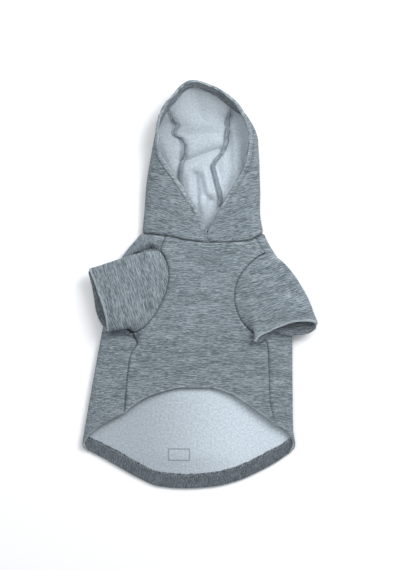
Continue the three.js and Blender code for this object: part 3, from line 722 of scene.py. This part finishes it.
def sewnMove(edge, away, run, calm):
    # a sewn edge dives, the cloth swells beside it, and puckers run along it
    ripple = noise.noise(Vector((run / cloth["puckerPitch"], puckerSeeds[edge], 0.5)))
    dive = calm * cloth["seamDepth"] * math.exp(-((away / cloth["seamSpread"]) ** 2))
    swell = cloth["seamSwell"] * math.exp(-(((away - cloth["swellAway"]) / cloth["swellSpread"]) ** 2))
    return swell - dive + cloth["puckerHeight"] * ripple * math.exp(-away / cloth["puckerReach"])


def layCloth(name, columns, rows, surface, hollow, sewn="", relief=None, tube=False,
             pattern=None, crowd=("", ""), folded=None, calmHigh=0, slit=0):
    # cloth on the surface, facing away from the hollow, with its own lengths as UVs; its faces get
    # material 1 beside the sewn edges and material 2 beside the folded ones (on the panels, painted seam
    # shade and a painted highlight)
    bm, cells = gridOn(surface, columns, rows, crowd)
    across, up = lengthsOn(cells, columns, rows)
    faceOutwards(bm, hollow)
    layer = bm.loops.layers.uv.new("cloth")
    where = {vert: key for key, vert in cells.items()}
    for face in bm.faces:
        for loop in face.loops:
            i, j = where[loop.vert]
            flat = (across[i, j] - across[columns // 2, j], up[i, j])
            loop[layer].uv = pattern(loop.vert.co, flat) if pattern else flat
    edges = sewn.split()
    for face in bm.faces:
        keys = [where[vert] for vert in face.verts]
        inColumns, inRows = zip(*keys)
        touches = {"left": 0 in inColumns, "right": columns in inColumns,
                   "low": 0 in inRows, "high": rows in inRows}
        face.material_index = 1 if any(touches[edge] for edge in edges) else 0
        for edge, band in (folded or {}).items():
            away = sum({"left": across[k], "low": up[k], "high": up[k[0], rows] - up[k]}[edge]
                       for k in keys) / 4
            if away < band:
                # where the two sides of a slit meet, their edge is in the dark
                inSlit = edge == "left" and sum(up[k] for k in keys) / 4 < slit
                dark = 1 if away < cloth["slitEdge"] else 0
                face.material_index = dark if inSlit else 2
        face.smooth = True
    moves = {}
    for (i, j), vert in cells.items():
        away = {"left": across[i, j], "right": across[columns, j] - across[i, j],
                "low": up[i, j], "high": up[i, rows] - up[i, j]}
        calm = clamp(away["high"] / calmHigh - 1) if calmHigh else 1
        move = relief(vert.co, away) if relief else 0
        for edge in edges:
            run = up[i, j] if edge in ("left", "right") else across[i, j]
            move += sewnMove(edge, away[edge], run, calm)
        moves[vert] = vert.normal * move
    for vert, move in moves.items():
        vert.co += move
        vert.co.z = max(vert.co.z, floorLevel)
    if tube:
        bmesh.ops.remove_doubles(bm, verts=bm.verts, dist=0.01)
    for vert in bm.verts:
        vert.co = toFrame(vert.co)
    mesh = bpy.data.meshes.new(name)
    bm.to_mesh(mesh)
    bm.free()
    return addPiece(name, mesh)


def addPiece(name, mesh):
    piece = bpy.data.objects.new(name, mesh)
    scene.collection.objects.link(piece)
    return piece


def thicken(piece, millimetres, materials, inner=0, rounding=0.7):
    # gives the sheet its wall; the inner face takes the material that is `inner` places further on
    for material in materials:
        piece.data.materials.append(material)
    walls = piece.modifiers.new("wall", "SOLIDIFY")
    walls.thickness = millimetres / 1000
    walls.offset = 0
    walls.material_offset = inner
    edge = piece.modifiers.new("edge", "BEVEL")
    edge.width = rounding / 1000
    edge.segments = 2
    edge.limit_method = "ANGLE"
    edge.angle_limit = math.radians(50)


# materials
def colour(code):
    channels = [int(code[i:i + 2], 16) / 255 for i in (1, 3, 5)]
    return [c / 12.92 if c <= 0.04045 else ((c + 0.055) / 1.055) ** 2.4 for c in channels] + [1]


def addNode(tree, kind, links=None, **settings):
    node = tree.nodes.new(kind)
    for key, value in settings.items():
        setattr(node, key, value)
    for socket, value in (links or {}).items():
        if isinstance(value, bpy.types.NodeSocket):
            tree.links.new(value, node.inputs[socket])
        else:
            node.inputs[socket].default_value = value
    return node


def newMaterial(name):
    material = bpy.data.materials.new(name)
    material.use_nodes = True
    material.node_tree.nodes.clear()
    return material, material.node_tree


def mathNode(tree, operation, *values):
    return addNode(tree, "ShaderNodeMath", dict(enumerate(values)), operation=operation).outputs[0]


def noiseNode(tree, place, scale, detail, roughness=0.5):
    return addNode(tree, "ShaderNodeTexNoise", {
        "Vector": place, "Scale": scale, "Detail": detail, "Roughness": roughness}).outputs["Fac"]


def rangeNode(tree, value, fromRange, toRange):
    return addNode(tree, "ShaderNodeMapRange", {
        "Value": value, "From Min": fromRange[0], "From Max": fromRange[1],
        "To Min": toRange[0], "To Max": toRange[1]}, interpolation_type="SMOOTHSTEP").outputs[0]


def rampNode(tree, tone, *stops):
    ramp = addNode(tree, "ShaderNodeValToRGB", {0: tone})
    elements = ramp.color_ramp.elements
    elements[0].position, elements[0].color = stops[0][0], colour(stops[0][1])
    elements[1].position, elements[1].color = stops[-1][0], colour(stops[-1][1])
    for position, code in stops[1:-1]:
        elements.new(position).color = colour(code)
    return ramp.outputs[0]


def shadeCloth(tree, baseColour, roughness, specular, sheen, sheenRoughness, bump):
    strength, distance, height = bump
    bumps = addNode(tree, "ShaderNodeBump", {"Strength": strength, "Distance": distance, "Height": height})
    shader = addNode(tree, "ShaderNodeBsdfPrincipled", {
        "Base Color": baseColour, "Roughness": roughness, "Normal": bumps.outputs[0],
        "Specular IOR Level": specular, "Sheen Weight": sheen, "Sheen Roughness": sheenRoughness})
    addNode(tree, "ShaderNodeOutputMaterial", {"Surface": shader.outputs[0]})


def streaks(tree, place, length, height, offset, detail=2.0):
    # long thin patches along the courses of the knit, sized in millimetres
    mapping = addNode(tree, "ShaderNodeMapping", {
        "Vector": place, "Scale": (1 / length, 1 / height, 1), "Location": offset})
    return noiseNode(tree, mapping.outputs[0], 1.0, detail, 0.55)


knitting = {
    "waver": 7.0,  # how far the courses waver, from one extreme to the other
    "longStreak": (13, 0.9),  # length and height
    "shortStreak": (4.5, 0.6),
    "patch": (46, 8),
    "patchShare": 0.18,
    "waleScale": 1 / 1.8,  # wales a little over half a millimetre apart
    "waleDistortion": 1.2,
    "waleShare": 0.35,
    "bumpStrength": 0.35,
    "bumpDistance": 0.0004,
}


def knit(name, dark, middle, light, spread=0.085, turned=False, stretch=1.0):
    # heather sweatshirt jersey: light and dark fibres spun together, in short streaks along each course
    material, tree = newMaterial(name)
    uv = addNode(tree, "ShaderNodeUVMap", uv_map="cloth")
    turn = addNode(tree, "ShaderNodeMapping", {
        "Vector": uv.outputs[0], "Rotation": (0, 0, math.pi / 2 if turned else 0)}).outputs[0]
    sway = mathNode(tree, "MULTIPLY", noiseNode(tree, turn, 0.02, 0.0), knitting["waver"])
    shift = addNode(tree, "ShaderNodeCombineXYZ", {"Y": sway}).outputs[0]
    place = addNode(tree, "ShaderNodeVectorMath", {0: turn, 1: shift}, operation="ADD").outputs[0]
    (longLength, longHeight), (shortLength, shortHeight) = knitting["longStreak"], knitting["shortStreak"]
    patchLength, patchHeight = knitting["patch"]
    long = streaks(tree, place, longLength * stretch, longHeight, (3.1, 1.7, 0))
    short = streaks(tree, place, shortLength * stretch, shortHeight, (8.3, 4.9, 0))
    patch = streaks(tree, place, patchLength * stretch, patchHeight, (1.3, 9.2, 0), 3.0)
    both = mathNode(tree, "ADD", long, short)
    halved = mathNode(tree, "MULTIPLY_ADD", both, 0.5, -knitting["patchShare"] / 2)
    tone = mathNode(tree, "MULTIPLY_ADD", patch, knitting["patchShare"], halved)
    base = rampNode(tree, tone, (0.5 - spread, dark), (0.5, middle), (0.5 + spread, light))
    wales = addNode(tree, "ShaderNodeTexWave", {
        "Vector": place, "Scale": knitting["waleScale"], "Distortion": knitting["waleDistortion"],
        "Detail": 1.0}, bands_direction="X").outputs["Fac"]
    height = mathNode(tree, "MULTIPLY_ADD", wales, knitting["waleShare"], both)
    bump = knitting["bumpStrength"], knitting["bumpDistance"], height
    shadeCloth(tree, base, 0.95, 0.2, 0.08, 0.6, bump)
    return material


nap = {
    "clumpScale": 0.4,
    "fibreScale": 1.1,
    "bumpStrength": 0.6,
    "bumpDistance": 0.001,
    "acrossFrom": (-0.08, 0.06),  # metres, from left to right
    # painted shade on the left, painted light on the right
    "paintedShadeAcross": (0.72, 1.13),
    "upFrom": (0.1, 0.16),  # metres, towards the crown
    # painted shadow towards the crown
    "paintedCrownShadow": (1.0, 0.86),
}


def fleece(name, shade, light):
    # brushed fleece: a short soft nap that scatters light, with faint clumps a few millimetres wide
    material, tree = newMaterial(name)
    uv = addNode(tree, "ShaderNodeUVMap", uv_map="cloth").outputs[0]
    clumps = noiseNode(tree, uv, nap["clumpScale"], 4.0, 0.75)
    both = mathNode(tree, "ADD", clumps, noiseNode(tree, uv, nap["fibreScale"], 3.0, 0.8))
    halved = mathNode(tree, "MULTIPLY", both, 0.5)
    base = rampNode(tree, halved, (0.4, shade), (0.6, light))
    # painted shade and light: the fleece is darker on the left half and under the crown, where shade
    # falls, and lighter on the right, where the light falls
    spot = addNode(tree, "ShaderNodeSeparateXYZ", {
        0: addNode(tree, "ShaderNodeTexCoord").outputs["Object"]}).outputs
    paintedSideShade = rangeNode(tree, spot["X"], nap["acrossFrom"], nap["paintedShadeAcross"])
    crown = rangeNode(tree, spot["Y"], nap["upFrom"], nap["paintedCrownShadow"])
    share = mathNode(tree, "MULTIPLY", paintedSideShade, crown)
    paintedShadeTint = addNode(tree, "ShaderNodeVectorMath", {0: base, "Scale": share}, operation="SCALE")
    shadeCloth(tree, paintedShadeTint.outputs[0], 1.0, 0.1, 0.2, 0.8, (nap["bumpStrength"], nap["bumpDistance"], both))
    return material


greyKnit = knit("heatherJersey", "#525C62", "#6F7980", "#929CA3")
# painted shade: a darker knit on the faces beside the seams and the slit's edge, standing in for their
# shadow
seamShadeKnit = knit("jerseyPaintedSeamShade", "#3E464B", "#515A5F", "#656E74")
bandKnit = knit("facingJerseyAcross", "#40474C", "#555D63", "#757E84", 0.11, True, 0.45)
rimKnit = knit("facingJerseyAlong", "#4A5258", "#61696F", "#828B91")
# painted highlight: a lighter knit on the rounded folded edges, where they catch the light
rimHighlightKnit = knit("jerseyPaintedRimHighlight", "#667077", "#828C93", "#A6AFB5")
overlockKnit = knit("overlockedHem", "#34393D", "#565E64", "#848D94", 0.06, True, 0.3)
# painted highlight: a lighter knit on the curl of the turned edges, where the rounded lip catches the
# light
curlHighlightKnit = knit("jerseyPaintedCurlHighlight", "#78838A", "#939DA4", "#ADB6BC")
edgeKnit = knit("overlockedJersey", "#68727A", "#7C868E", "#97A0A8", 0.09, True, 0.5)
paleFleece = fleece("brushedFleeceWithPaintedShade", "#A2AEB8", "#CCD7E0")
labelFleece = fleece("labelStitching", "#89959F", "#A3AFB9")


def addWall(piece, foldHighlight=rimHighlightKnit):
    thicken(piece, wall, [greyKnit, seamShadeKnit, foldHighlight] + [paleFleece] * 3, 3)


# body panels
def stitchLine(away):
    # the row of stitches that holds a turned hem
    return -cloth["stitchDepth"] * math.exp(-((away / cloth["stitchSpread"]) ** 2))


def upperRelief(place, away):
    # slow waves in the upper cloth
    wave = noise.noise(Vector((place.x / 34, place.y / 46, 3.1)))
    wave += 0.5 * noise.noise(Vector((place.x / 15, place.y / 19, 8.4)))
    loose = clamp((place.z - 5) / 6) * clamp(away["low"] / 20)
    return 0.8 * wave * loose + stitchLine(away["low"] - body["hemFacing"])


def bodyPattern(place, flat):
    # the courses run straight across, and slant where the left shoulder rolls over
    slant = 1.3 * ease((place.y + 34) / 20) * ease((-46 - place.x) / 8)
    return flat[0], place.y + slant * (place.x + 46)


bellyHollow = (0, -90, 6)
belly = layCloth("belly_cloth", bellyColumns, sum(bodyRows), bellyPoint, bellyHollow,
                 "left right high", upperRelief, pattern=bodyPattern, crowd=("both", ""),
                 folded={"low": 1.2})
addWall(belly)
back = layCloth("back_cloth", 2 * sum(backColumns), sum(bodyRows), backSurface, bellyHollow,
                "left right high", upperRelief, pattern=bodyPattern, crowd=("both", ""))
addWall(back)
print("body panels laid")


# sleeves
def sleeveRelief(place, away):
    wave = noise.noise(Vector((place.x / 16, place.y / 24, 5.7)))
    loose = clamp(away["low"] / 8) * clamp(away["high"] / 8)
    return 0.7 * wave * loose + stitchLine(away["high"] - cuffs["facing"])


sleevePieces = {}
for side in (left, right):
    hub = sum((sleevePoint(side, t / 8, 0.5) for t in range(8)), Vector()) / 8
    spin = math.radians(side.cuffTurn)

    def sleevePattern(place, flat, spin=spin):
        # the courses run round the sleeve, along its cuff
        return (place.x * math.cos(spin) + place.y * math.sin(spin),
                place.y * math.cos(spin) - place.x * math.sin(spin))
    piece = layCloth("sleeve_cloth_" + side.name, cuffs["columns"], cuffs["rows"],
                     lambda u, v, side=side: sleevePoint(side, u, v), hub, "low", sleeveRelief,
                     tube=True, pattern=sleevePattern, crowd=("", "low"), folded={"high": 1.6})
    addWall(piece, curlHighlightKnit)
    sleevePieces[side.name] = piece
print("sleeves set in")


# hood panels
def rimRelief(distance, run):
    # the stitched hem of the face opening: a groove inside its swollen edge, gathered a little
    gather = noise.noise(Vector((run / 3.2, 4.4, 0.7)))
    swollen = 0.35 * math.exp(-(((distance - 3) / 2.2) ** 2))
    groove = 1.3 * math.exp(-(((distance - 5.5) / 1.2) ** 2))
    return swollen - groove + 0.5 * gather * math.exp(-distance / 7)


def sideRelief(place, away):
    wave = noise.noise(Vector((place.x / 22, place.y / 26, 6.3)))
    return (rimRelief(away["left"], place.y) * clamp(away["high"] / 10)
            + 0.8 * wave * clamp(away["low"] / 12) * clamp(away["left"] / 12))


hoodHollow = (6, 100, 14)
hoodPieces = {}
for side in (left, right):
    def sidePattern(place, flat, side=side):
        # the courses fall a little towards the middle
        return flat[0], place.y - side.sign * 0.18 * place.x
    piece = layCloth("hood_cloth_" + side.name, hood["sideColumns"], sum(hoodRows),
                     hoodSideSurface(side), hoodHollow, "right low", sideRelief,
                     pattern=sidePattern, crowd=("both", ""), calmHigh=9, slit=14,
                     folded={"left": 3.6 if side is left else 1.4, "high": 3})
    addWall(piece)
    hoodPieces[side.name] = piece
centre = layCloth("hood_cloth_centre", hood["centreColumns"], sum(hoodRows), hoodCentreSurface,
                  hoodHollow, "left right low", crowd=("both", ""), folded={"high": 2.5}, calmHigh=9)
addWall(centre)
print("hood closed round its crown")


# turned edges
probe = 0.004  # how far to each side a surface is felt for its slope
turnedRows = 14
curledRows = 5


def normalOf(surface, u, v):
    u, v = clamp(u, probe, 1 - probe), clamp(v, probe, 1 - probe)
    along = surface(u + probe, v) - surface(u - probe, v)
    return along.cross(surface(u, v + probe) - surface(u, v - probe)).normalized()


def turnedEdge(name, columns, walk, width, inside, flatKnit, tube=False, overlocked=0,
               bent=curlHighlightKnit):
    # the cloth's edge curls over and lies flat against its inside; walk(u, away) follows the
    # cloth in from its edge, and gives a place and the way it faces
    near = wall / 2 + cloth["facingWall"] / 2

    def turned(u, v):
        stage = v * turnedRows
        angle = clamp(stage / curledRows) * math.pi
        inner = max(0, stage - curledRows) / (turnedRows - curledRows)
        away = inner * (width + noise.noise(Vector((u * columns / 2.2, 5.1, 0.2))) * inner)
        base, normal = walk(u, away)
        inwards = (walk(u, 2.0)[0] - walk(u, 0)[0]).normalized()
        # a small pucker at every few stitches
        pucker = noise.noise(Vector((u * columns / 2.4, 2.7, 0.4))) * inner
        depth = near * (1 - math.cos(angle)) / 2 + 0.15 * inner + pucker * 0.6
        return base + inwards * near / 2 * (1 - math.sin(angle)) + normal * inside * depth
    piece = layCloth(name, columns, turnedRows, turned, (0, 0, 0), tube=tube)
    # the curl takes `bent`, a painted highlight, and the flat facing takes its own knit
    for polygon in piece.data.polygons:
        row = polygon.index // columns
        flat = 1 if row >= curledRows - 1 else 0
        polygon.material_index = 2 if row >= turnedRows - overlocked else flat
    thicken(piece, cloth["facingWall"], [bent, flatKnit, overlockKnit], rounding=0.5)
    return piece


def walkRows(surface):
    # follows a surface in from its first row
    def walk(u, away):
        run = (surface(u, 0.12) - surface(u, 0)).length / 0.12
        return surface(u, away / run), normalOf(surface, u, away / run)
    return walk


backHem = turnedEdge("back_hem_turned", 2 * sum(backColumns), walkRows(backSurface),
                     body["hemFacing"], 1, bandKnit, overlocked=2)
bellyHem = turnedEdge("belly_hem_turned", bellyColumns, walkRows(bellyPoint),
                      body["hemFacing"], -1, bandKnit)
cuffPieces = {}
for side in (left, right):
    def walkCuff(u, away, side=side):
        run = (sleevePoint(side, u, 1) - sleevePoint(side, u, 0.95)).length / 0.05
        v = min(0.6, away / run)
        near = max(v, probe)
        along = sleevePoint(side, u + probe, 1 - near) - sleevePoint(side, u - probe, 1 - near)
        up = sleevePoint(side, u, 1 - near - probe) - sleevePoint(side, u, 1 - near + probe)
        return sleevePoint(side, u, 1 - v), along.cross(up).normalized()
    cuffPieces[side.name] = turnedEdge("cuff_turned_" + side.name, cuffs["columns"], walkCuff,
                                       cuffs["facing"], side.sign, rimKnit, tube=True)


# the rim's facing is narrower on the left of the hood
facingShare = curveOf((0, 0.55), (1, 0.5), (1.25, 0.55), (1.5, 0.65), (1.75, 0.95), (3, 1))
rimColumns = [60, 80, 60]


def walkRim(u, away):
    station = paced([0, 1, 2, 3], rimColumns, u)
    away *= facingShare(station)
    out, walked, stride = 1.0, 0.0, 0.01
    place = hoodPoint(station, out)
    while walked < away:
        following = hoodPoint(station, out - stride)
        pace = (following - place).length
        if walked + pace >= away:
            out -= stride * (away - walked) / pace
            break
        walked, out, place = walked + pace, out - stride, following
    at, inner = clamp(station, probe, 3 - probe), min(out, 1 - probe)
    along = hoodPoint(at + probe, inner) - hoodPoint(at - probe, inner)
    outwards = hoodPoint(at, inner + probe) - hoodPoint(at, inner - probe)
    return hoodPoint(station, out), along.cross(outwards).normalized()


rim = turnedEdge("hood_rim_turned", sum(rimColumns), walkRim, hood["rimFacing"], 1, rimKnit,
                 bent=rimHighlightKnit)
print("edges turned in")

# the stitched outline of the label on the back's fleece
label = {
    "left": -34,
    "top": -234.3,
    "width": 23,
    "height": 12.6,
    "thread": 0.5,
}


def labelLine(u, v):
    # once round the rectangle, and once round the thread
    corners = [(0, 0), (1, 0), (1, 1), (0, 1), (0, 0)]
    leg = min(3, int(u * 4))
    (fromX, fromY), (toX, toY) = corners[leg], corners[leg + 1]
    share = u * 4 - leg
    x = label["left"] + label["width"] * lerp(fromX, toX, share)
    y = label["top"] - label["height"] * lerp(fromY, toY, share)
    turn, thread = 2 * math.pi * v, label["thread"]
    inX = label["left"] + label["width"] / 2 - x
    inY = label["top"] - label["height"] / 2 - y
    side = Vector((math.copysign(1, inX) if leg % 2 or share in (0, 1) else 0,
                   math.copysign(1, inY) if not leg % 2 or share in (0, 1) else 0, 0))
    high = floorLevel + backHump(x, y) + wall / 2 + 0.1
    return Vector((x, y, high)) + side * thread * math.cos(turn) + Vector((0, 0, thread * math.sin(turn)))


labelPiece = layCloth("label_outline", 96, 8, labelLine, (-22.5, -240.6, 2), tube=True)
labelPiece.data.materials.append(labelFleece)
print("label outline stitched")

# seam allowances in the hood
allowances = {}
for side in (left, right):
    def strip(u, v, side=side):
        row = paced(hoodKnots, hoodRows, lerp(0.16, 0.86, v))
        seam = side.hoodSeam(row)
        sway = 0.5 * noise.noise(Vector((v * 26, 3.3, side.sign)))
        share = seam - (hood["allowance"] * (u - 0.1) + sway * u) / hoodWidth
        base = hoodCloth(side.sign * share, row)
        rise = wall / 2 + 0.5 + 1.5 * math.sin(math.pi * clamp(u * 0.8))
        rise += 0.4 * noise.noise(Vector((v * 40, 1.3, 0)))
        return base + Vector((0, 0, rise))
    piece = layCloth("overlocked_edge_" + side.name, 6, 130, strip, (0, 0, 0))
    thicken(piece, cloth["facingWall"], [edgeKnit], rounding=0.5)
    allowances[side.name] = piece
print("hood seams overlocked")

# what each piece is
made = [
    (back, ["back_panel"], "knit"), (belly, ["belly_panel"], "knit"),
    (backHem, ["back_hem_facing"], "facing"), (bellyHem, ["belly_hem_facing"], "facing"),
    (centre, ["hood_centre"], "knit"), (rim, ["hood_rim_facing"], "facing"),
]
for side in (left, right):
    made += [
        (sleevePieces[side.name], ["sleeve_" + side.name], "knit"),
        (cuffPieces[side.name], ["cuff_facing_" + side.name], "facing"),
        (hoodPieces[side.name], ["hood_" + side.name], "knit"),
        (allowances[side.name], ["hood_allowance_" + side.name], "overlocked_edge"),
    ]
for piece, nodes, slot in made:
    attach(piece, "root")
    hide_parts(*nodes)
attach(labelPiece, "root")

for side in (left, right):
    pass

# floor, light and camera
studio = {
    "frameHeight": 0.627,  # what the picture covers, top to bottom, at the height of the upper cloth
    "floorReach": 3,
    "upperCloth": 0.012,
    "cameraHeight": 2.4,
    "centreX": 0.0005,
    "centreY": -0.0002,
    "keyPower": 19,
    "keyPlace": (0.72, 0.72, 1.1),
    "keySize": 0.8,
    "fillPower": 6,
    "fillPlace": (-0.45, 0.55, 1.2),
    "fillSize": 1.0,
    "worldLight": 0.5,
}
bm = bmesh.new()
bmesh.ops.create_grid(bm, x_segments=1, y_segments=1, size=studio["floorReach"])
mesh = bpy.data.meshes.new("floor")
bm.to_mesh(mesh)
bm.free()
floor = addPiece("floor", mesh)
paper, tree = newMaterial("paintedBoard")
shader = addNode(tree, "ShaderNodeBsdfPrincipled", {"Base Color": colour("#F7F8FA"), "Roughness": 0.9})
addNode(tree, "ShaderNodeOutputMaterial", {"Surface": shader.outputs[0]})
floor.data.materials.append(paper)

world = bpy.data.worlds.new("studio")
world.use_nodes = True
world.node_tree.nodes["Background"].inputs["Color"].default_value = (0.97, 0.985, 1, 1)
world.node_tree.nodes["Background"].inputs["Strength"].default_value = studio["worldLight"]
scene.world = world


def softBox(name, place, size, power, target=(0, 0, 0)):
    light = bpy.data.lights.new(name, "AREA")
    light.shape, light.size, light.energy = "SQUARE", size, power
    lamp = bpy.data.objects.new(name, light)
    lamp.location = place
    lamp.rotation_euler = (Vector(target) - Vector(place)).to_track_quat("-Z", "Y").to_euler()
    scene.collection.objects.link(lamp)


softBox("keyLight", studio["keyPlace"], studio["keySize"], studio["keyPower"])
softBox("fillLight", studio["fillPlace"], studio["fillSize"], studio["fillPower"], (0, 0.1, 0))

camera = bpy.data.cameras.new("camera")
camera.sensor_fit = "VERTICAL"
camera.sensor_height = 24
reach = studio["cameraHeight"] - studio["upperCloth"]
camera.lens = camera.sensor_height * reach / studio["frameHeight"]
camera.clip_end = 20
cameraObject = bpy.data.objects.new("camera", camera)
cameraObject.location = (studio["centreX"], studio["centreY"], studio["cameraHeight"])
scene.collection.objects.link(cameraObject)
scene.camera = cameraObject
scene.view_settings.view_transform = "Standard"
print("floor, light and camera set")
